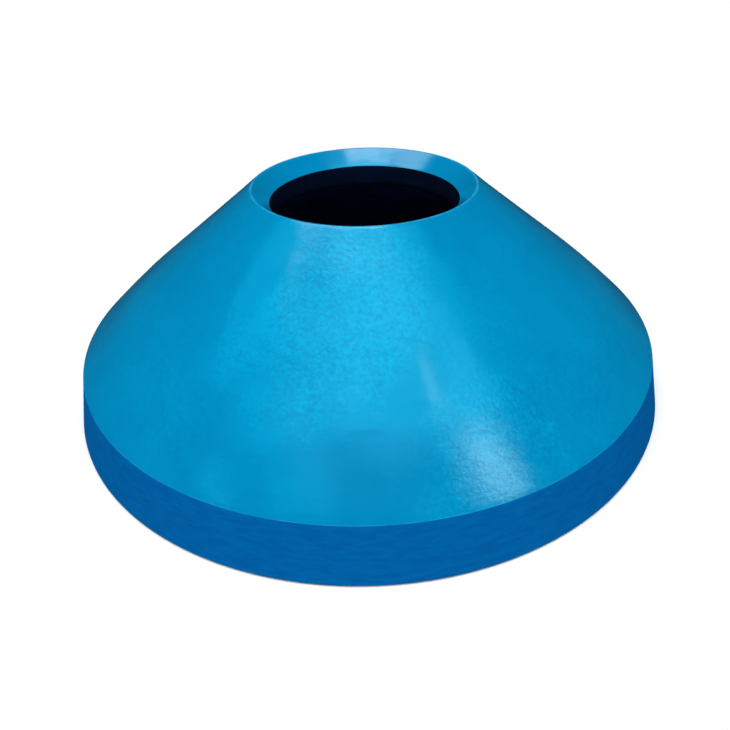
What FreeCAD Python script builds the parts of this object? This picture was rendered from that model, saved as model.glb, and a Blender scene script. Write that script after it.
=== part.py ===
"""Cone crusher mantle: one manganese steel casting, turned on its seats and bore.

The mantle is a thick conical shell, open at the top and the bottom. Outside it has a straight crushing
face that steepens into a crown above a drafted skirt. Inside it has a low foot wall, two turned seat
lands with a cast relief pocket between them, a register bore, and the torch ring's bevel above the bore.

Millimetres and degrees. +Z is up along the axis, and the origin is the centre of the base.
Each section is drawn in the XZ plane, where x is the radius and y is the height above the base.
"""

import FreeCAD, Part
import math
import os

import Sketcher

# The driving dimensions: alias, value, meaning.
DIMENSIONS = (
    ("skirt_base_radius", 650.0, "outer radius at the base"),
    ("skirt_height", 111.0, "height of the skirt, from the base to the shoulder"),
    ("skirt_draft", 13.7, "lean of the skirt from the vertical, degrees"),
    ("crown_run", 141.0, "radial width of the crown"),
    ("crown_turn", 6.2, "how much the crown steepens from the face to the shoulder, degrees"),
    ("face_slope", 38.3, "slope of the straight crushing face, degrees"),
    ("bevel_width", 34.0, "radial width of the torch ring's bevel, from the bore to the crest"),
    ("bevel_slope", 45.0, "slope of the bevel, degrees"),
    ("bore_radius", 198.0, "radius of the register bore"),
    ("bore_length", 45.0, "length of the register bore"),
    ("foot_width", 50.0, "radial width of the flat base"),
    ("foot_wall_height", 21.0, "height of the upright wall inside the base"),
    ("lower_land_length", 110.0, "slant length of the lower seat land"),
    ("upper_land_length", 62.0, "slant length of the upper seat land"),
    ("relief_depth", 8.0, "depth of the cast pocket between the seat lands"),
    ("relief_ramp", 30.0, "slope of the pocket's ends against the seat, degrees"),
    ("crest_round", 4.0, "round on the crest"),
    ("bevel_round", 1.5, "round between the bevel and the bore"),
    ("shoulder_round", 4.0, "round on the shoulder"),
    ("pocket_round", 5.0, "round in the corners of the relief pocket's floor"),
    ("base_chamfer", 4.0, "chamfer on the skirt's bottom edge"),
    ("foot_chamfer", 4.0, "chamfer on the foot wall's bottom edge"),
    ("bore_chamfer", 3.0, "chamfer on the bore's lower edge"),
)

# Sizes that follow from the driving ones: name, formula. Each may use the ones above it.
DERIVED = (
    ("shoulder_radius", "dims.skirt_base_radius - dims.skirt_height * tan(dims.skirt_draft)"),
    ("crown_top_radius", "derived.shoulder_radius - dims.crown_run"),
    ("crown_top_height", "dims.skirt_height + dims.crown_run * tan(dims.face_slope + dims.crown_turn / 2)"),
    ("crest_radius", "dims.bore_radius + dims.bevel_width"),
    ("face_run", "derived.crown_top_radius - derived.crest_radius"),
    ("crest_height", "derived.crown_top_height + derived.face_run * tan(dims.face_slope)"),
    ("bore_top", "derived.crest_height - dims.bevel_width * tan(dims.bevel_slope)"),
    ("bore_bottom", "derived.bore_top - dims.bore_length"),
    ("foot_inner_radius", "dims.skirt_base_radius - dims.foot_width"),
    ("seat_run", "derived.foot_inner_radius - dims.bore_radius"),
    ("seat_rise", "derived.bore_bottom - dims.foot_wall_height"),
    ("seat_length", "sqrt(derived.seat_run ^ 2 + derived.seat_rise ^ 2)"),
    ("pocket_end", "derived.seat_length - dims.upper_land_length"),
    ("ramp_run", "dims.relief_depth / tan(dims.relief_ramp)"),
)

# Corners of the relief pocket: name, distance up the seat's slant from the foot wall, depth below the
# seat. A mouth corner stands clear of the metal, on the line of its ramp.
POCKET_CORNERS = (
    ("low_mouth", "(dims.lower_land_length - derived.ramp_run)", "-dims.relief_depth"),
    ("high_mouth", "(derived.pocket_end + derived.ramp_run)", "-dims.relief_depth"),
    ("high_floor", "(derived.pocket_end - derived.ramp_run)", "dims.relief_depth"),
    ("low_floor", "(dims.lower_land_length + derived.ramp_run)", "dims.relief_depth"),
)

# Corners of the sections: the sizes that give their radius and height.
ON_AXIS = ON_BASE = None
BASE_CENTRE = (ON_AXIS, ON_BASE)
BASE_EDGE = ("dims.skirt_base_radius", ON_BASE)
SHOULDER = ("derived.shoulder_radius", "dims.skirt_height")
CROWN_TOP = ("derived.crown_top_radius", "derived.crown_top_height")
CREST = ("derived.crest_radius", "derived.crest_height")
CREST_CENTRE = (ON_AXIS, "derived.crest_height")
BORE_HEAD = ("dims.bore_radius", "derived.bore_top")
BORE_CENTRE = (ON_AXIS, "derived.bore_top")
BORE_FOOT = ("dims.bore_radius", "derived.bore_bottom")
SEAT_FOOT = ("derived.foot_inner_radius", "dims.foot_wall_height")
FOOT_EDGE = ("derived.foot_inner_radius", ON_BASE)
LOW_MOUTH, HIGH_MOUTH, HIGH_FLOOR, LOW_FLOOR = (
    (f"derived.{name}_radius", f"derived.{name}_height") for name, _, _ in POCKET_CORNERS
)

MATCH_MM = 0.01


def write_dimensions(doc):
    """Writes the driving dimensions to the sheet."""
    sheet = doc.addObject("Spreadsheet::Sheet", "dims")
    for row, (alias, value, meaning) in enumerate(DIMENSIONS, start=1):
        sheet.set(f"A{row}", alias)
        sheet.set(f"B{row}", str(value))
        sheet.set(f"C{row}", meaning)
        sheet.setAlias(f"B{row}", alias)
    doc.recompute()


def bind_derived_sizes(doc):
    """Makes the sizes that follow from the sheet, each bound to it by its formula."""
    derived = doc.addObject("App::VarSet", "derived")
    formulas = list(DERIVED)
    for name, along, depth in POCKET_CORNERS:
        back = f"({along} * derived.seat_run - {depth} * derived.seat_rise) / derived.seat_length"
        rise = f"({along} * derived.seat_rise + {depth} * derived.seat_run) / derived.seat_length"
        formulas.append((f"{name}_radius", f"derived.foot_inner_radius - {back}"))
        formulas.append((f"{name}_height", f"dims.foot_wall_height + {rise}"))
    for name, formula in formulas:
        derived.addProperty("App::PropertyFloat", name)
        derived.setExpression(name, formula)
    doc.recompute()


def size(doc, reference):
    """The value of a size such as "dims.bore_radius", or 0 on the axis and the base."""
    if reference is None:
        return 0.0
    holder, name = reference.split(".")
    return float(getattr(doc.getObject(holder), name))


def place_corner(sketch, edge, corner):
    """Ties the start of an edge to the two sizes of its corner."""
    to_origin = (("DistanceX", -2), ("DistanceY", -1))
    for (kind, axis_line), reference in zip(to_origin, corner):
        if reference is None:
            sketch.addConstraint(Sketcher.Constraint("PointOnObject", edge, 1, axis_line))
            continue
        distance = Sketcher.Constraint(kind, -1, 1, edge, 1, size(sketch.Document, reference))
        index = sketch.addConstraint(distance)
        label = f"edge{edge}_{kind}"
        sketch.renameConstraint(index, label)
        sketch.setExpression(f"Constraints.{label}", reference)


def crown_arc(doc, start, end):
    """The crown as an arc from the shoulder up to the straight face, bulging outward."""
    chord = end - start
    outward = FreeCAD.Vector(chord.y, -chord.x, 0).normalize()
    bulge = chord.Length / 2 * math.tan(math.radians(size(doc, "dims.crown_turn") / 4))
    return Part.Arc(start, (start + end) / 2 + outward * bulge, end)


def draw_section(body, name, corners):
    """Draws a closed section through its corners in the body's XZ plane.

    The edge between the shoulder and the crown's top is an arc, tangent to the face above it.
    """
    doc = body.Document
    plane = next(item for item in body.Origin.OriginFeatures if item.Role == "XZ_Plane")
    sketch = body.newObject("Sketcher::SketchObject", name)
    sketch.AttachmentSupport = [(plane, "")]
    sketch.MapMode = "FlatFace"

    points = [FreeCAD.Vector(size(doc, radius), size(doc, height), 0) for radius, height in corners]
    for corner, start, end in zip(corners, points, points[1:] + points[:1]):
        if corner == SHOULDER:
            sketch.addGeometry(crown_arc(doc, start, end))
        else:
            sketch.addGeometry(Part.LineSegment(start, end))
    for edge, corner in enumerate(corners):
        before = (edge - 1) % len(corners)
        joint = "Tangent" if corner == CROWN_TOP else "Coincident"
        sketch.addConstraint(Sketcher.Constraint(joint, before, 2, edge, 1))
        place_corner(sketch, edge, corner)
    return sketch


def turn(body, kind, name, corners):
    """Turns a section once round the axis, to add metal (Revolution) or to cut it (Groove)."""
    volume_before = 0.0 if body.Tip is None else body.Shape.Volume
    sketch = draw_section(body, f"{name}_section", corners)
    feature = body.newObject(f"PartDesign::{kind}", name)
    feature.Profile = sketch
    feature.ReferenceAxis = (sketch, ["V_Axis"])
    feature.Angle = 360.0
    feature.Reversed = False
    body.Document.recompute()

    gained = feature.Shape.Volume - volume_before
    if (gained > 0) != (kind == "Revolution"):
        raise RuntimeError(f"{name} changes the volume by {gained:.0f} mm3")


def ring_edge(body, corner):
    """The name of the round edge of the body at a corner of the section."""
    radius, height = (size(body.Document, reference) for reference in corner)
    for index, edge in enumerate(body.Shape.Edges, start=1):
        if not isinstance(edge.Curve, Part.Circle):
            continue
        off_radius = abs(edge.Curve.Radius - radius)
        off_height = abs(edge.Curve.Center.z - height)
        if max(off_radius, off_height) < MATCH_MM:
            return f"Edge{index}"
    raise RuntimeError(f"no round edge at radius {radius:.2f}, height {height:.2f}")


def dress(body, kind, name, alias, corners):
    """Rounds (Fillet) or breaks (Chamfer) the edges at some corners, by a size on the sheet."""
    edges = [ring_edge(body, corner) for corner in corners]
    base = body.Tip
    feature = body.newObject(f"PartDesign::{kind}", name)
    feature.Base = (base, edges)
    width = "Radius" if kind == "Fillet" else "Size"
    feature.setExpression(width, f"dims.{alias} * 1mm")
    body.Document.recompute()


def build_mantle(doc):
    """The mantle: a turned blank, three turned cuts, and the finish of its edges."""
    body = doc.addObject("PartDesign::Body", "mantle")
    body.Label = "mantle"
    body.Placement = FreeCAD.Placement()

    turn(body, "Revolution", "blank", [BASE_CENTRE, BASE_EDGE, SHOULDER, CROWN_TOP, CREST, CREST_CENTRE])
    turn(body, "Groove", "head_space", [BASE_CENTRE, FOOT_EDGE, SEAT_FOOT, BORE_FOOT, BORE_HEAD, BORE_CENTRE])
    turn(body, "Groove", "torch_bevel", [BORE_CENTRE, BORE_HEAD, CREST, CREST_CENTRE])
    turn(body, "Groove", "relief_pocket", [LOW_MOUTH, HIGH_MOUTH, HIGH_FLOOR, LOW_FLOOR])

    dress(body, "Fillet", "crest_edge", "crest_round", [CREST])
    dress(body, "Fillet", "bevel_edge", "bevel_round", [BORE_HEAD])
    dress(body, "Fillet", "shoulder_edge", "shoulder_round", [SHOULDER])
    dress(body, "Fillet", "pocket_corners", "pocket_round", [LOW_FLOOR, HIGH_FLOOR])
    dress(body, "Chamfer", "base_edge", "base_chamfer", [BASE_EDGE])
    dress(body, "Chamfer", "foot_edge", "foot_chamfer", [FOOT_EDGE])
    dress(body, "Chamfer", "bore_edge", "bore_chamfer", [BORE_FOOT])
    return body


def check(doc, bodies):
    """Stops on a failed object, a sketch that can still move, or a body that isn't one valid solid."""
    for item in doc.Objects:
        if {"Invalid", "Error"} & set(item.State):
            raise RuntimeError(f"{item.Name} failed: {item.State}")
        if item.isDerivedFrom("Sketcher::SketchObject") and not item.FullyConstrained:
            raise RuntimeError(f"{item.Name} isn't fully constrained")
    for body in bodies:
        if body.Shape.isNull() or not body.Shape.isValid() or len(body.Shape.Solids) != 1:
            raise RuntimeError(f"{body.Label} isn't one valid solid")


def main():
    doc = FreeCAD.newDocument("cone_crusher_mantle")
    write_dimensions(doc)
    bind_derived_sizes(doc)
    bodies = [build_mantle(doc)]
    doc.recompute()
    check(doc, bodies)

    os.makedirs("parts", exist_ok=True)
    for body in bodies:
        body.Shape.exportStep(f"parts/{body.Label}.step")
        print(f"{body.Label}: {len(body.Shape.Faces)} faces, {body.Shape.Volume / 1e9:.5f} m3")


main()
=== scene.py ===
"""Cone crusher mantle: the painted casting, its camera and its studio.

Metres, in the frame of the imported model: +Z up along the axis, origin at the centre of the base.
"""

import logging
import math
from dataclasses import dataclass
from enum import Enum

import bpy
from mathutils import Matrix, Vector, noise


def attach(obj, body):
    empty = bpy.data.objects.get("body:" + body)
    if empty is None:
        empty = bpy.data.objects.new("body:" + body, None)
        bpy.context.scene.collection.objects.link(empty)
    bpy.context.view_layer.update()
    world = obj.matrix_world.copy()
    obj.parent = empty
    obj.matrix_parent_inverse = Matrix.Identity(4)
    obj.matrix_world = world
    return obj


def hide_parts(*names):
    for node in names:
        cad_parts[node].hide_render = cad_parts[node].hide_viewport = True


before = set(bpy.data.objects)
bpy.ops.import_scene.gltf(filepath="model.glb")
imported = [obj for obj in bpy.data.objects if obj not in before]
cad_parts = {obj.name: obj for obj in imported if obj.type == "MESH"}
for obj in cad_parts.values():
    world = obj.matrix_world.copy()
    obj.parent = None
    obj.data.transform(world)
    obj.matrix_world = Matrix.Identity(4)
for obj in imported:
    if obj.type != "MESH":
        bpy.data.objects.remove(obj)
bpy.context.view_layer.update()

LOG = logging.getLogger("mantle")

Point = tuple[float, float]
Colour = tuple[float, float, float]
Spot = tuple[float, float, float]


class Zone(Enum):
    """Which finish a stretch of the section carries."""

    PAINT = 0
    SKIRT = 1
    COAT = 2
    BEVEL = 3
    SEAT = 4


@dataclass(frozen=True)
class Corner:
    """One corner of the turned section.

    Args:
        radius: Distance from the axis.
        height: Height above the base.
        round_radius: Radius of the round on the corner, 0 for a crisp one.
        zone: Finish of the stretch that starts here.
        rows: Number of mesh rows in that stretch.
    """

    radius: float
    height: float
    round_radius: float = 0.0
    zone: Zone = Zone.PAINT
    rows: int = 1


class Graph:
    """A material's node tree, with short calls for the nodes that the finishes share."""

    def __init__(self, name: str) -> None:
        """Makes an empty material with an output and a principled shader.

        Args:
            name: Name of the material.
        """
        self.material = bpy.data.materials.new(name)
        self.material.use_nodes = True
        self.tree = self.material.node_tree
        self.tree.nodes.clear()
        output = self.tree.nodes.new("ShaderNodeOutputMaterial")
        self.shader = self.tree.nodes.new("ShaderNodeBsdfPrincipled")
        self.link(self.shader.outputs["BSDF"], output.inputs["Surface"])
        self.position = self.tree.nodes.new("ShaderNodeTexCoord").outputs["Object"]

    def link(self, source: bpy.types.NodeSocket, target: bpy.types.NodeSocket) -> None:
        """Joins two sockets."""
        self.tree.links.new(source, target)

    def stretched(self, scale: tuple[float, float, float]) -> bpy.types.NodeSocket:
        """The position scaled along each axis.

        Args:
            scale: Factors along X, Y and Z.

        Returns:
            The scaled vector.
        """
        node = self.tree.nodes.new("ShaderNodeMapping")
        node.inputs["Scale"].default_value = scale
        self.link(self.position, node.inputs["Vector"])
        return node.outputs["Vector"]

    def noise(
        self,
        scale: float,
        detail: float = 4.0,
        roughness: float = 0.5,
        vector: bpy.types.NodeSocket | None = None,
    ) -> bpy.types.NodeSocket:
        """A noise pattern.

        Args:
            scale: Patches per metre.
            detail: Octaves.
            roughness: Strength of the finer octaves.
            vector: Position to read, the object's own by default.

        Returns:
            The pattern, about 0 to 1.
        """
        node = self.tree.nodes.new("ShaderNodeTexNoise")
        node.inputs["Scale"].default_value = scale
        node.inputs["Detail"].default_value = detail
        node.inputs["Roughness"].default_value = roughness
        self.link(vector or self.position, node.inputs["Vector"])
        return node.outputs["Fac"]

    def spread(
        self,
        value: bpy.types.NodeSocket,
        low: float,
        high: float,
        to_low: float = 0.0,
        to_high: float = 1.0,
    ) -> bpy.types.NodeSocket:
        """Maps a value from one range to another, smoothly and clamped.

        Args:
            value: The value to map.
            low: Start of its range.
            high: End of its range.
            to_low: Result at the start.
            to_high: Result at the end.

        Returns:
            The mapped value.
        """
        node = self.tree.nodes.new("ShaderNodeMapRange")
        node.interpolation_type = "SMOOTHSTEP"
        ends = {"From Min": low, "From Max": high, "To Min": to_low, "To Max": to_high}
        for name, number in ends.items():
            node.inputs[name].default_value = number
        self.link(value, node.inputs["Value"])
        return node.outputs["Result"]

    def math(
        self,
        operation: str,
        first: bpy.types.NodeSocket,
        second: bpy.types.NodeSocket | float,
    ) -> bpy.types.NodeSocket:
        """One step of arithmetic.

        Args:
            operation: Blender's name for it, such as MULTIPLY.
            first: First operand.
            second: Second operand, a socket or a number.

        Returns:
            The result.
        """
        node = self.tree.nodes.new("ShaderNodeMath")
        node.operation = operation
        self.link(first, node.inputs[0])
        if isinstance(second, (int, float)):
            node.inputs[1].default_value = second
        else:
            self.link(second, node.inputs[1])
        return node.outputs["Value"]

    def mix(
        self,
        share: bpy.types.NodeSocket,
        first: bpy.types.NodeSocket | Colour,
        second: bpy.types.NodeSocket | Colour,
    ) -> bpy.types.NodeSocket:
        """Mixes two colours.

        Args:
            share: How much of the second, 0 to 1.
            first: First colour, a socket or RGB.
            second: Second colour, a socket or RGB.

        Returns:
            The mixed colour.
        """
        node = self.tree.nodes.new("ShaderNodeMix")
        node.data_type = "RGBA"
        self.link(share, node.inputs["Factor"])
        for socket, colour in ((node.inputs[6], first), (node.inputs[7], second)):
            if isinstance(colour, tuple):
                socket.default_value = (*colour, 1.0)
            else:
                self.link(colour, socket)
        return node.outputs[2]

    def height(self) -> bpy.types.NodeSocket:
        """The height above the base."""
        node = self.tree.nodes.new("ShaderNodeSeparateXYZ")
        self.link(self.position, node.inputs["Vector"])
        return node.outputs["Z"]

    def bump(
        self,
        value: bpy.types.NodeSocket,
        depth: float,
        strength: float,
        under: bpy.types.NodeSocket | None = None,
    ) -> bpy.types.NodeSocket:
        """Relief in the surface's shading.

        Args:
            value: Height pattern, 0 to 1.
            depth: Real height of the pattern.
            strength: How much of it shows.
            under: Normal of the relief beneath it.

        Returns:
            The shaded normal.
        """
        node = self.tree.nodes.new("ShaderNodeBump")
        node.inputs["Distance"].default_value = depth
        node.inputs["Strength"].default_value = strength
        self.link(value, node.inputs["Height"])
        if under is not None:
            self.link(under, node.inputs["Normal"])
        return node.outputs["Normal"]


@dataclass(frozen=True)
class RoughPlace:
    """One area where the enamel has crinkled, and where its crinkle carries painted highlights and
    painted shade.

    Args:
        middle: Its middle.
        reach: Distance from there at which the crinkle has died out.
        share: How strong it is, 0 to 1.
    """

    middle: Spot
    reach: float
    share: float = 1.0


@dataclass(frozen=True)
class BluePaint:
    """Gloss blue enamel over the turned crushing face and the bevel, with painted highlights on the
    tops of its crinkle, painted shade in its dips, and light edge lines that are partly rubbed
    enamel and partly painted edge highlights.

    Args:
        name: Name of the material.
        gloss: Roughness where the enamel is thick, and where it is thin.
        crinkle: How much of the fine crinkle shows, 0 to 1.
        wear_highlight_edges: Heights of the edges with a light line, partly rubbed-thin enamel and
            partly painted edge highlight.
        deep: Colour where the enamel is thick.
        plain: Colour where it is thin.
        shade: Painted shade colour in the dips of the crinkle.
        crinkle_highlight: Painted highlight colour on its tops.
        wear_and_highlight: Colour of the edge lines, partly rubbed enamel and partly painted edge
            highlight.
        sheen: Tint of the gloss.
        patch_scale: Thick and thin patches per metre.
        crinkle_scale: Crinkles per metre.
        broad_scale: Broader swellings of the crinkle per metre.
        crinkle_depth: Height of the crinkle.
        fine_highlight: Share of the painted highlight colour on the fine tops.
        broad_highlight: Share of the painted highlight colour on the broad ones.
        dip_shade: Share of the painted shade colour in the dips.
        brush_scale: Brush marks per metre.
        brush_stretch: How much closer they lie along each axis.
        brush_strength: How much of them shows.
        rough_places: Areas that have crinkled strongly, which also carry the painted highlights and
            shade of the crinkle.
        ragged_scale: Bays per metre in the outlines of those areas.
        ragged_depth: Depth of the bays.
        faint_scale: Faintly crinkled patches per metre elsewhere.
        faint: Share of the crinkle between and in those patches.
        edge_width: Half width of an edge line.
        wear_scale: Breaks per metre in the edge lines.
        line_share: Least and greatest share of the edge line colour on them.
    """

    name: str = "blue_paint"
    gloss: tuple[float, float] = (0.10, 0.16)
    crinkle: float = 1.0
    wear_highlight_edges: tuple[float, ...] = ()
    deep: Colour = (0.0, 0.265, 0.555)
    plain: Colour = (0.0, 0.295, 0.595)
    shade: Colour = (0.0, 0.210, 0.480)
    crinkle_highlight: Colour = (0.0, 0.420, 0.760)
    wear_and_highlight: Colour = (0.030, 0.420, 0.720)
    sheen: Colour = (0.50, 0.95, 1.0)
    patch_scale: float = 9.0
    crinkle_scale: float = 140.0
    broad_scale: float = 58.8
    crinkle_depth: float = 0.0005
    fine_highlight: float = 0.58
    broad_highlight: float = 0.28
    dip_shade: float = 0.70
    brush_scale: float = 26.0
    brush_stretch: Spot = (1.0, 1.0, 4.0)
    brush_strength: float = 0.6
    rough_places: tuple[RoughPlace, ...] = (
        RoughPlace((-0.04, -0.36, 0.305), 0.22),
        RoughPlace((0.18, -0.54, 0.16), 0.16, share=0.75),
        RoughPlace((0.26, 0.33, 0.28), 0.17),
    )
    ragged_scale: float = 7.0
    ragged_depth: float = 0.05
    faint_scale: float = 3.4
    faint: tuple[float, float] = (0.10, 0.30)
    edge_width: float = 0.0014
    wear_scale: float = 38.0
    line_share: tuple[float, float] = (0.10, 0.65)

    def material(self) -> bpy.types.Material:
        """Builds the enamel.

        Returns:
            The material.
        """
        graph = Graph(self.name)
        patches = graph.noise(self.patch_scale, detail=6.0, roughness=0.6)
        where = self.rough_area(graph)
        fine = graph.noise(self.crinkle_scale, detail=5.0, roughness=0.65)
        broad = graph.noise(self.broad_scale, detail=3.0)
        brushed = graph.noise(
            self.brush_scale, detail=4.0, vector=graph.stretched(self.brush_stretch)
        )
        # Painted highlights on the fine and broad tops of the crinkle, and painted shade in its
        # dips, within the crinkled areas.
        fine_highlight = graph.math("MULTIPLY", graph.spread(fine, 0.42, 0.66), where)
        broad_highlight = graph.math("MULTIPLY", graph.spread(broad, 0.40, 0.64), where)
        dip_shade = graph.math("MULTIPLY", graph.spread(fine, 0.46, 0.30), where)

        colour = graph.mix(graph.spread(patches, 0.30, 0.70), self.deep, self.plain)
        for pattern, share, tone in (
            (fine_highlight, self.fine_highlight, self.crinkle_highlight),
            (broad_highlight, self.broad_highlight, self.crinkle_highlight),
            (dip_shade, self.dip_shade, self.shade),
        ):
            colour = graph.mix(graph.math("MULTIPLY", pattern, share), colour, tone)
        # Light lines along the shoulder and the crest: partly rubbed enamel, partly painted edge
        # highlight.
        for height in self.wear_highlight_edges:
            colour = graph.mix(self.wear_highlight_line(graph, height), colour, self.wear_and_highlight)
        graph.link(colour, graph.shader.inputs["Base Color"])
        roughness = graph.spread(patches, 0.35, 0.65, *self.gloss)
        graph.link(roughness, graph.shader.inputs["Roughness"])
        graph.shader.inputs["Specular Tint"].default_value = (*self.sheen, 1.0)
        relief = graph.bump(graph.math("MULTIPLY", fine, where), self.crinkle_depth, 1.0)
        relief = graph.bump(brushed, self.crinkle_depth, self.brush_strength, relief)
        graph.link(relief, graph.shader.inputs["Normal"])
        return graph.material

    def rough_area(self, graph: Graph) -> bpy.types.NodeSocket:
        """Where the enamel has crinkled, strongly in a few areas and faintly in patches elsewhere,
        which is also where the crinkle's painted highlights and shade show.

        Args:
            graph: The material's node tree.

        Returns:
            How much of the crinkle, and of its painted highlights and shade, shows.
        """
        bays = graph.noise(self.ragged_scale, detail=3.0)
        ragged = graph.spread(bays, 0.3, 0.7, -self.ragged_depth, self.ragged_depth)
        between, inside = (self.crinkle * share for share in self.faint)
        faint = graph.noise(self.faint_scale, detail=3.0)
        crinkled = graph.spread(faint, 0.48, 0.66, between, inside)
        for place in self.rough_places:
            away = graph.tree.nodes.new("ShaderNodeVectorMath")
            away.operation = "DISTANCE"
            graph.link(graph.position, away.inputs[0])
            away.inputs[1].default_value = place.middle
            uneven = graph.math("ADD", away.outputs["Value"], ragged)
            strength = self.crinkle * place.share
            area = graph.spread(uneven, 0.5 * place.reach, place.reach, strength, 0.0)
            crinkled = graph.math("MAXIMUM", area, crinkled)
        return crinkled

    def wear_highlight_line(self, graph: Graph, height: float) -> bpy.types.NodeSocket:
        """The broken light line along one edge: partly rubbed enamel, partly a painted edge
        highlight.

        Args:
            graph: The material's node tree.
            height: Height of the edge.

        Returns:
            How much of the edge line colour shows.
        """
        away = graph.math("ABSOLUTE", graph.math("SUBTRACT", graph.height(), height), 0.0)
        line = graph.spread(away, 0.3 * self.edge_width, self.edge_width, 1.0, 0.0)
        breaks = graph.noise(self.wear_scale, detail=5.0)
        return graph.math("MULTIPLY", line, graph.spread(breaks, 0.38, 0.58, *self.line_share))


@dataclass(frozen=True)
class SkirtPaint:
    """The same blue over the rough skirt, thinner and nearly matt, its colours darker and bluer
    than the face's: partly the thinner paint, partly painted shade of the steep skirt.

    Args:
        deep: Colour where the paint is thick.
        plain: Colour where it is thin.
        roughness: Its roughness.
        specular: Strength of its gloss.
        band_scale: Level bands per metre.
        band_stretch: How much closer they lie along each axis.
        band_strength: How much of them shows as relief.
        grain_scale: Grains per metre.
        grain_strength: How much of them shows as relief.
        grain_depth: Height of the relief.
    """

    # Darker, bluer colours than the face's: partly the thinner paint, partly painted shade of the
    # steep skirt.
    deep: Colour = (0.0, 0.200, 0.670)
    plain: Colour = (0.0, 0.242, 0.756)
    roughness: float = 0.75
    specular: float = 0.12
    band_scale: float = 30.0
    band_stretch: Spot = (1.0, 1.0, 5.0)
    band_strength: float = 0.4
    grain_scale: float = 140.0
    grain_strength: float = 0.3
    grain_depth: float = 0.0008

    def material(self) -> bpy.types.Material:
        """Builds the skirt's paint.

        Returns:
            The material.
        """
        graph = Graph("skirt_paint")
        bands = graph.noise(
            self.band_scale, detail=5.0, roughness=0.6, vector=graph.stretched(self.band_stretch)
        )
        grain = graph.noise(self.grain_scale, detail=5.0, roughness=0.7)
        colour = graph.mix(graph.spread(bands, 0.35, 0.65), self.deep, self.plain)
        graph.link(colour, graph.shader.inputs["Base Color"])
        graph.shader.inputs["Roughness"].default_value = self.roughness
        graph.shader.inputs["Specular IOR Level"].default_value = self.specular
        relief = graph.bump(grain, self.grain_depth, self.grain_strength)
        relief = graph.bump(bands, self.grain_depth, self.band_strength, relief)
        graph.link(relief, graph.shader.inputs["Normal"])
        return graph.material


@dataclass(frozen=True)
class DarkCoat:
    """Matt coat over turning marks, navy on the bore and blue on the seats. The bore's near-black
    navy is partly a dark coat and partly painted shade of the bore's inside.

    Args:
        name: Name of the material.
        dark: Colour where the coat is thick.
        light: Colour where it is thin.
        roughness: Its roughness.
        specular: Strength of its gloss.
        patch_scale: Thick and thin patches per metre.
        mark_stretch: Turning marks per metre along each axis.
        mark_depth: Depth of the marks.
        mark_strength: How much of them shows.
    """

    name: str = "bore_coat"
    # Near-black navy: partly a dark coat, partly painted shade of the bore's inside.
    dark: Colour = (0.0008, 0.0034, 0.0210)
    light: Colour = (0.0014, 0.0060, 0.0360)
    roughness: float = 0.62
    specular: float = 0.18
    patch_scale: float = 14.0
    mark_stretch: Spot = (2.0, 2.0, 700.0)
    mark_depth: float = 0.0003
    mark_strength: float = 0.5

    def material(self) -> bpy.types.Material:
        """Builds the coat.

        Returns:
            The material.
        """
        graph = Graph(self.name)
        patches = graph.noise(self.patch_scale, detail=5.0)
        marks = graph.noise(1.0, detail=2.0, vector=graph.stretched(self.mark_stretch))
        colour = graph.mix(graph.spread(patches, 0.35, 0.65), self.dark, self.light)
        graph.link(colour, graph.shader.inputs["Base Color"])
        graph.shader.inputs["Roughness"].default_value = self.roughness
        graph.shader.inputs["Specular IOR Level"].default_value = self.specular
        relief = graph.bump(marks, self.mark_depth, self.mark_strength)
        graph.link(relief, graph.shader.inputs["Normal"])
        return graph.material


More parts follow.
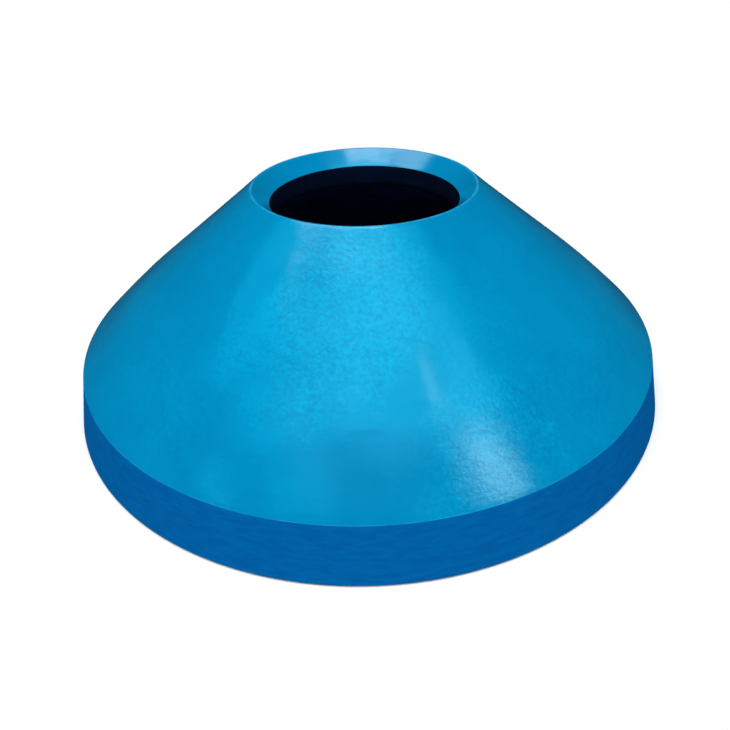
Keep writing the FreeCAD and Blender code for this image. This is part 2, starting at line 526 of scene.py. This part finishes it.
@dataclass
class MantleCasting:
    """The mantle as one turned shell, from the base up the outside and down the inside.

    Args:
        skirt_base_radius: Outer radius at the base, kept inside the facets of the solid.
        skirt_height: Height of the shoulder.
        skirt_draft: Lean of the skirt from the vertical.
        crown_run: How far the crown runs in from the shoulder.
        crown_turn: How much it flattens on the way.
        face_slope: Slope of the straight face.
        bevel_width: Width of the torch ring's bevel, level.
        bevel_slope: Slope of the bevel.
        bore_radius: Radius of the bore.
        bore_length: Length of its straight wall.
        foot_width: Width of the foot ring.
        foot_wall_height: Height of the foot's inner wall.
        lower_land_length: Length of the lower seat on the slant.
        upper_land_length: Length of the upper seat on the slant.
        relief_depth: Depth of the pocket between the seats.
        relief_ramp: Slope of its ends against the seat cone.
        crest_round: Round on the crest.
        bevel_round: Round between the bevel and the bore.
        shoulder_round: Round on the shoulder.
        pocket_round: Rounds in the pocket.
        edge_chamfer: Broken edges of the foot.
        bore_chamfer: Broken edge at the foot of the bore.
        crown_steps: Mesh rows along the crown.
        face_rows: Mesh rows along the straight face.
        round_steps: Mesh rows in a round.
        segments: Mesh columns around the axis.
        sharp_angle: Least angle between faces that is shaded as an edge.
        waviness: Greatest depth of the hand-ground hollows.
        swell_scale: Broad hollows per metre.
        ripple_scale: Fine hollows per metre.
        calm_rim: Height by an edge that has no hollows.
        calm_fade: Height beyond it in which they set in.
        face_reach: Height from the straight face's cone within which they are made.
        crest_line_height: Height of the crest's light line, on top of its round, partly rubbed
            enamel and partly painted edge highlight.
    """

    skirt_base_radius: float = 0.6498
    skirt_height: float = 0.111
    skirt_draft: float = math.radians(13.7)
    crown_run: float = 0.141
    crown_turn: float = math.radians(6.2)
    face_slope: float = math.radians(38.3)
    bevel_width: float = 0.034
    bevel_slope: float = math.radians(45.0)
    bore_radius: float = 0.198
    bore_length: float = 0.045
    foot_width: float = 0.050
    foot_wall_height: float = 0.021
    lower_land_length: float = 0.110
    upper_land_length: float = 0.062
    relief_depth: float = 0.008
    relief_ramp: float = math.radians(30.0)
    crest_round: float = 0.004
    bevel_round: float = 0.0015
    shoulder_round: float = 0.004
    pocket_round: float = 0.005
    edge_chamfer: float = 0.004
    bore_chamfer: float = 0.003
    crown_steps: int = 20
    face_rows: int = 64
    round_steps: int = 5
    segments: int = 384
    sharp_angle: float = math.radians(28.0)
    waviness: float = 0.0009
    swell_scale: float = 7.0
    ripple_scale: float = 16.0
    calm_rim: float = 0.006
    calm_fade: float = 0.03
    face_reach: float = 0.02
    crest_line_height: float = 0.4312

    def materials(self) -> list[bpy.types.Material]:
        """Builds the finishes.

        Returns:
            The materials, in the order of the zones.
        """
        crest = self.crest_line_height
        return [
            BluePaint(wear_highlight_edges=(self.skirt_height, crest)).material(),
            SkirtPaint().material(),
            # The bore's near-black coat, partly painted shade.
            DarkCoat().material(),
            BluePaint(
                "bevel_paint", crinkle=0.25, wear_highlight_edges=(crest,), sheen=(0.85, 0.98, 1.0)
            ).material(),
            DarkCoat("seat_coat", (0.004, 0.088, 0.400), (0.006, 0.130, 0.560)).material(),
        ]

    def outside(self) -> list[Corner]:
        """The painted side of the section.

        Returns:
            Its corners, from the base's inner edge up to the bore's head.
        """
        inner = self.skirt_base_radius - self.foot_width
        shoulder = self.skirt_base_radius - self.skirt_height * math.tan(self.skirt_draft)
        chamfer = self.edge_chamfer
        lean = chamfer * math.sin(self.skirt_draft)
        corners = [
            Corner(inner, chamfer, zone=Zone.SKIRT),
            Corner(inner + chamfer, 0.0, zone=Zone.SKIRT, rows=6),
            Corner(self.skirt_base_radius - chamfer, 0.0, zone=Zone.SKIRT),
            Corner(
                self.skirt_base_radius - lean,
                chamfer * math.cos(self.skirt_draft),
                zone=Zone.SKIRT,
                rows=14,
            ),
            Corner(shoulder, self.skirt_height, self.shoulder_round),
        ]
        crest = Corner(
            self.crest_radius(), self.crest_height(), self.crest_round, Zone.BEVEL, rows=8
        )
        bore = Corner(self.bore_radius, self.bore_top(), self.bevel_round, Zone.COAT, rows=5)
        return corners + self.crown(shoulder) + [crest, bore]

    def crest_radius(self) -> float:
        """Radius of the crest, where the face meets the bevel."""
        return self.bore_radius + self.bevel_width

    def crown_top(self) -> Point:
        """Radius and height of the place where the crown runs into the straight face."""
        shoulder = self.skirt_base_radius - self.skirt_height * math.tan(self.skirt_draft)
        rise = self.crown_run * math.tan(self.face_slope + self.crown_turn / 2)
        return shoulder - self.crown_run, self.skirt_height + rise

    def crest_height(self) -> float:
        """Height of the crest."""
        radius, height = self.crown_top()
        return height + (radius - self.crest_radius()) * math.tan(self.face_slope)

    def bore_top(self) -> float:
        """Height of the bore's head, under the bevel."""
        return self.crest_height() - self.bevel_width * math.tan(self.bevel_slope)

    def crown(self, shoulder: float) -> list[Corner]:
        """The crown, steepening from the straight face down to the shoulder.

        Args:
            shoulder: Radius of the shoulder.

        Returns:
            Corners along the crown's arc, then the start of the straight face.
        """
        end = self.crown_top()
        chord = math.hypot(self.crown_run, end[1] - self.skirt_height)
        bend = chord / (2 * math.sin(self.crown_turn / 2))
        corners = []
        slope = self.face_slope + self.crown_turn
        radius, height = shoulder, self.skirt_height
        part = self.crown_turn / self.crown_steps
        step = 2 * bend * math.sin(part / 2)
        for index in range(self.crown_steps):
            lean = slope - part * (index + 0.5)
            radius -= step * math.cos(lean)
            height += step * math.sin(lean)
            corners.append(Corner(radius, height))
        corners[-1] = Corner(*end, rows=self.face_rows)
        return corners

    def inside(self) -> list[Corner]:
        """The coated side of the section.

        Returns:
            Its corners, from the bore's foot down to the foot wall.
        """
        foot_radius = self.skirt_base_radius - self.foot_width
        bore_foot = self.bore_top() - self.bore_length
        run = foot_radius - self.bore_radius
        rise = bore_foot - self.foot_wall_height
        length = math.hypot(run, rise)

        def seat(
            along: float, depth: float = 0.0, round_radius: float = 0.0, rows: int = 1
        ) -> Corner:
            """A corner by the seat cone.

            Args:
                along: Distance up the slant from the foot wall.
                depth: Distance into the metal.
                round_radius: Radius of the round on it.
                rows: Number of mesh rows in the stretch that starts there.

            Returns:
                The corner.
            """
            radius = foot_radius - (along * run - depth * rise) / length
            height = self.foot_wall_height + (along * rise + depth * run) / length
            return Corner(radius, height, round_radius, Zone.SEAT, rows)

        ramp = self.relief_depth / math.tan(self.relief_ramp)
        low = self.lower_land_length
        high = length - self.upper_land_length
        pocket = self.relief_depth, self.pocket_round
        return [
            Corner(self.bore_radius, bore_foot + self.bore_chamfer, zone=Zone.COAT),
            seat(length - self.bore_chamfer, rows=6),
            seat(high, rows=2),
            seat(high - ramp, *pocket, rows=24),
            seat(low + ramp, *pocket, rows=2),
            seat(low, rows=8),
            Corner(foot_radius, self.foot_wall_height, zone=Zone.SEAT, rows=2),
        ]

    def rounded(self, corners: list[Corner]) -> list[tuple[Point, Zone]]:
        """Rounds the corners and divides the stretches between them.

        Args:
            corners: The section's corners, in order and closed.

        Returns:
            The points of the section, each with the finish of the row that starts there.
        """
        count = len(corners)
        arcs: list[list[Vector]] = []
        for index, corner in enumerate(corners):
            here = Vector((corner.radius, corner.height))
            if corner.round_radius == 0.0:
                arcs.append([here])
                continue
            before = corners[index - 1]
            after = corners[(index + 1) % count]
            back = (Vector((before.radius, before.height)) - here).normalized()
            ahead = (Vector((after.radius, after.height)) - here).normalized()
            half = back.angle(ahead) / 2
            start = here + back * (corner.round_radius / math.tan(half))
            middle = here + (back + ahead).normalized() * (corner.round_radius / math.sin(half))
            first = start - middle
            turn = math.pi - 2 * half
            sign = 1.0 if back.cross(ahead) < 0 else -1.0
            arc = []
            for step in range(self.round_steps + 1):
                angle = sign * turn * step / self.round_steps
                spoke = Vector((
                    first.x * math.cos(angle) - first.y * math.sin(angle),
                    first.x * math.sin(angle) + first.y * math.cos(angle),
                ))
                arc.append(middle + spoke)
            arcs.append(arc)

        points: list[tuple[Point, Zone]] = []
        for index, corner in enumerate(corners):
            zone_before = corners[index - 1].zone
            arc = arcs[index]
            for step, point in enumerate(arc[:-1]):
                late = step >= len(arc) // 2
                points.append((tuple(point), corner.zone if late else zone_before))
            start, end = arc[-1], arcs[(index + 1) % count][0]
            for row in range(corner.rows):
                points.append((tuple(start.lerp(end, row / corner.rows)), corner.zone))
        return points

    def build(self) -> bpy.types.Object:
        """Turns the section into the mantle's mesh and dresses it.

        Returns:
            The finished piece.
        """
        section = self.rounded(self.outside() + self.inside())
        rows = len(section)
        verts: list[tuple[float, float, float]] = []
        for column in range(self.segments):
            angle = 2 * math.pi * column / self.segments
            across, deep = math.cos(angle), math.sin(angle)
            for (radius, height), _ in section:
                sunk = self.unevenness(radius, height, across, deep)
                verts.append(((radius - sunk) * across, (radius - sunk) * deep, height - sunk))
        faces = []
        zones = []
        for column in range(self.segments):
            here, there = column * rows, (column + 1) % self.segments * rows
            for row in range(rows):
                above = (row + 1) % rows
                faces.append((here + row, there + row, there + above, here + above))
                zones.append(section[row][1].value)
        mesh = bpy.data.meshes.new("mantle_casting")
        mesh.from_pydata(verts, [], faces)
        mesh.polygons.foreach_set("material_index", zones)
        mesh.polygons.foreach_set("use_smooth", [True] * len(faces))
        mesh.update()
        for material in self.materials():
            mesh.materials.append(material)
        mesh.set_sharp_from_angle(angle=self.sharp_angle)
        piece = bpy.data.objects.new("mantle_casting", mesh)
        bpy.context.scene.collection.objects.link(piece)
        return piece

    def unevenness(self, radius: float, height: float, across: float, deep: float) -> float:
        """How far the hand-ground face lies under its true cone.

        Args:
            radius: Distance from the axis.
            height: Height above the base.
            across: Cosine of the place's angle about the axis.
            deep: Sine of that angle.

        Returns:
            The depth, 0 on the edges, the bevel and the inside.
        """
        top = self.crest_height()
        face_height = top - (radius - self.crest_radius()) * math.tan(self.face_slope)
        on_face = abs(height - face_height) <= self.face_reach
        if height < self.skirt_height or radius < self.crest_radius() or not on_face:
            return 0.0
        from_edges = min(height - self.skirt_height, top - height)
        fade = min(1.0, max(0.0, (from_edges - self.calm_rim) / self.calm_fade))
        spot = Vector((radius * across, radius * deep, height))
        ripple = 0.5 * noise.noise(spot * self.ripple_scale)
        swell = noise.noise(spot * self.swell_scale) + ripple
        return fade * self.waviness * min(1.0, max(0.0, 0.5 + 0.4 * swell))


@dataclass(frozen=True)
class Panel:
    """One flat light under the ceiling, seen only in the gloss of the paint.

    Args:
        name: Name of the light.
        middle: Where its middle is, over the floor.
        size: Its two sides.
        glow: Radiance of its face.
        soft: Share of each half side over which it fades out.
        colour: Colour of its light.
        turn: Turn about the vertical, degrees.
    """

    name: str
    middle: Point
    size: Point
    glow: float
    soft: tuple[float, float] = (0.2, 0.2)
    colour: Colour = (1.0, 1.0, 1.0)
    turn: float = 0.0

    def build(self, height: float) -> None:
        """Hangs the panel.

        Args:
            height: Its height above the floor.
        """
        light = bpy.data.lights.new(self.name, "AREA")
        light.shape = "RECTANGLE"
        light.size, light.size_y = self.size
        light.energy = self.glow * math.pi * self.size[0] * self.size[1]
        light.color = self.colour
        self.fade(light)
        lamp = bpy.data.objects.new(self.name, light)
        lamp.location = (*self.middle, height)
        lamp.rotation_euler = (0.0, 0.0, math.radians(self.turn))
        lamp.visible_diffuse = False
        lamp.visible_camera = False
        bpy.context.scene.collection.objects.link(lamp)

    def fade(self, light: bpy.types.Light) -> None:
        """Softens the panel's edges.

        Args:
            light: The panel's light.
        """
        light.use_nodes = True
        tree = light.node_tree
        across = tree.nodes.new("ShaderNodeSeparateXYZ")
        place = tree.nodes.new("ShaderNodeNewGeometry").outputs["Parametric"]
        tree.links.new(place, across.inputs["Vector"])
        product = tree.nodes.new("ShaderNodeMath")
        product.operation = "MULTIPLY"
        for index, soft in enumerate(self.soft):
            centred = tree.nodes.new("ShaderNodeMath")
            centred.operation = "SUBTRACT"
            centred.inputs[1].default_value = 0.5
            away = tree.nodes.new("ShaderNodeMath")
            away.operation = "ABSOLUTE"
            edge = tree.nodes.new("ShaderNodeMapRange")
            edge.interpolation_type = "SMOOTHSTEP"
            edge.inputs["From Min"].default_value = 0.5
            edge.inputs["From Max"].default_value = 0.5 - 0.5 * soft
            tree.links.new(across.outputs[index], centred.inputs[0])
            tree.links.new(centred.outputs["Value"], away.inputs[0])
            tree.links.new(away.outputs["Value"], edge.inputs["Value"])
            tree.links.new(edge.outputs["Result"], product.inputs[index])
        tree.links.new(product.outputs["Value"], tree.nodes["Emission"].inputs["Strength"])


@dataclass
class Studio:
    """The floor, the surroundings and the lights.

    Args:
        floor_size: Side of the floor.
        floor_grey: Its grey where it is looked at.
        floor_dim: Its grey as a source of light and reflections.
        sky_seen: Strength of the surroundings where they are looked at.
        sky_lit: Their strength as a source of light and reflections.
        top_power: Strength of the soft top light.
        top_spread: Its width, degrees.
        top_aim: Direction towards it.
        ceiling: Height of the lowest panel.
        panel_gap: Height between one panel and the next.
        panels: The panels, from the lowest up.
    """

    floor_size: float = 60.0
    floor_grey: float = 0.93
    floor_dim: float = 0.015
    sky_seen: float = 0.95
    sky_lit: float = 0.01
    top_power: float = 3.5
    top_spread: float = 60.0
    top_aim: Spot = (-0.03, -0.23, 0.97)
    ceiling: float = 2.6
    panel_gap: float = 0.01
    panels: tuple[Panel, ...] = (
        Panel("wide_panel", (-0.16, -1.15), (5.8, 1.86), 2.0, (0.40, 0.20), (0.03, 0.85, 1.0)),
        Panel("face_panel", (0.3, -1.28), (2.7, 1.68), 1.5, (0.45, 0.25), (0.05, 0.85, 1.0)),
        Panel("upper_panel", (-0.1, -1.00), (2.2, 1.3), 1.0, (0.5, 0.5), (0.30, 0.90, 1.0)),
        Panel("wing_panel", (-2.3, 0.0), (2.0, 1.6), 1.9, (0.45, 0.45), (0.03, 0.85, 1.0)),
        Panel(
            "right_panel", (1.95, -1.48), (1.7, 0.9), 2.5, (0.5, 0.5), (0.20, 0.85, 1.0), turn=-37.0
        ),
        Panel("bevel_panel", (-0.14, -0.115), (1.24, 0.83), 3.6, (0.12, 0.12)),
        Panel("bevel_side", (-1.10, 0.28), (1.20, 1.24), 3.6, (0.15, 0.15)),
        Panel("bevel_core", (-0.04, -0.22), (0.84, 0.6), 2.8, (0.15, 0.15)),
        Panel("highlight_panel", (2.58, -2.46), (1.86, 0.66), 8.4, (0.15, 0.25), turn=-30.0),
        Panel("streak_panel", (1.13, -1.56), (0.85, 0.10), 8.0, (0.6, 0.7), turn=-50.0),
        Panel("front_panel", (-1.5, -2.6), (1.7, 1.3), 1.0, (0.4, 0.4), (0.03, 0.9, 1.0)),
        Panel(
            "left_panel", (-3.6, -2.4), (0.5, 1.2), 2.2, (0.4, 0.4), (0.1, 0.9, 1.0), turn=30.0
        ),
    )

    def build(self) -> None:
        """Makes the floor, the world and the lights."""
        self.lay_floor()
        self.surround()
        self.overhead()
        for index, panel in enumerate(self.panels):
            panel.build(self.ceiling + index * self.panel_gap)

    def lay_floor(self) -> None:
        """Lays the plain pale floor."""
        mesh = bpy.data.meshes.new("studio_floor")
        half = self.floor_size / 2
        mesh.from_pydata(
            [(-half, -half, 0.0), (half, -half, 0.0), (half, half, 0.0), (-half, half, 0.0)],
            [], [(0, 1, 2, 3)],
        )
        material = bpy.data.materials.new("studio_floor")
        material.use_nodes = True
        tree = material.node_tree
        shader = tree.nodes["Principled BSDF"]
        colour = shader.inputs["Base Color"]
        self.pale_when_seen(tree, colour, self.floor_dim, self.floor_grey)
        shader.inputs["Roughness"].default_value = 0.9
        shader.inputs["Specular IOR Level"].default_value = 0.0
        mesh.materials.append(material)
        floor = bpy.data.objects.new("studio_floor", mesh)
        bpy.context.scene.collection.objects.link(floor)

    def surround(self) -> None:
        """Makes the world: pale where it is seen, dim in the paint."""
        world = bpy.data.worlds.new("studio")
        world.use_nodes = True
        tree = world.node_tree
        background = tree.nodes["Background"]
        background.inputs["Color"].default_value = (1.0, 1.0, 1.0, 1.0)
        self.pale_when_seen(tree, background.inputs["Strength"], self.sky_lit, self.sky_seen)
        bpy.context.scene.world = world
        bpy.context.scene.view_settings.view_transform = "Standard"

    def pale_when_seen(
        self, tree: bpy.types.NodeTree, target: bpy.types.NodeSocket, dim: float, pale: float
    ) -> None:
        """Keeps the stage pale to look at, but dim as a source of light and reflections.

        Args:
            tree: Node tree of the floor or the world.
            target: The socket to drive.
            dim: Its value for light and reflections.
            pale: Its value where it is looked at.
        """
        path = tree.nodes.new("ShaderNodeLightPath")
        level = tree.nodes.new("ShaderNodeMapRange")
        level.inputs["To Min"].default_value = dim
        level.inputs["To Max"].default_value = pale
        tree.links.new(path.outputs["Is Camera Ray"], level.inputs["Value"])
        tree.links.new(level.outputs["Result"], target)

    def overhead(self) -> None:
        """Hangs the wide soft top light, the same over the whole floor."""
        light = bpy.data.lights.new("top_light", "SUN")
        light.energy = self.top_power
        light.angle = math.radians(self.top_spread)
        lamp = bpy.data.objects.new("top_light", light)
        lamp.location = (0.0, 0.0, 3.0)
        lamp.rotation_euler = Vector(self.top_aim).to_track_quat("Z", "Y").to_euler()
        lamp.visible_glossy = False
        bpy.context.scene.collection.objects.link(lamp)


@dataclass
class Viewpoint:
    """The camera, set from the axis of the mantle.

    Args:
        unit: Length that the distance and the aim's height are multiples of.
        distance: Distance from the aim.
        aim_height: Height of the aim on the axis.
        elevation: Angle above the floor, seen from the aim.
        pitch: Turn up from the aim.
        yaw: Turn left from it.
        roll: Turn about the line of sight.
        lens: Focal length, millimetres.
        sensor: Width of the sensor, millimetres.
        shift: Shift of the frame across and up.
    """

    unit: float = 0.6229
    distance: float = 2.358
    aim_height: float = 0.25
    elevation: float = 0.5162
    pitch: float = -0.0552
    yaw: float = -0.0230
    roll: float = 0.0345
    lens: float = 31.474
    sensor: float = 36.0
    shift: tuple[float, float] = (-0.0263, -0.0452)

    def build(self) -> None:
        """Makes the camera and gives it to the scene."""
        forward = Vector((0.0, math.cos(self.elevation), -math.sin(self.elevation)))
        aim = Vector((0.0, 0.0, self.aim_height * self.unit))
        place = aim - forward * (self.distance * self.unit)
        right = Vector((1.0, 0.0, 0.0))
        up = right.cross(forward)
        turn = Matrix.Rotation(self.yaw, 3, up)
        forward, right = turn @ forward, turn @ right
        turn = Matrix.Rotation(self.pitch, 3, right)
        forward, up = turn @ forward, turn @ up
        turn = Matrix.Rotation(self.roll, 3, forward)
        right, up = turn @ right, turn @ up

        data = bpy.data.cameras.new("studio_camera")
        data.sensor_width = self.sensor
        data.lens = self.lens
        data.shift_x, data.shift_y = self.shift
        camera = bpy.data.objects.new("studio_camera", data)
        axes = Matrix((right, up, -forward)).transposed().to_4x4()
        camera.matrix_world = Matrix.Translation(place) @ axes
        bpy.context.scene.collection.objects.link(camera)
        bpy.context.scene.camera = camera


def main() -> None:
    """Builds the mantle, the studio and the camera, and reports the piece."""
    logging.basicConfig(level=logging.INFO)
    casting = MantleCasting()
    piece = casting.build()
    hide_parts("mantle")
    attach(piece, "root")
    LOG.info("%s: %d faces", piece.name, len(piece.data.polygons))
    Studio().build()
    Viewpoint().build()


if __name__ == "__main__":
    main()
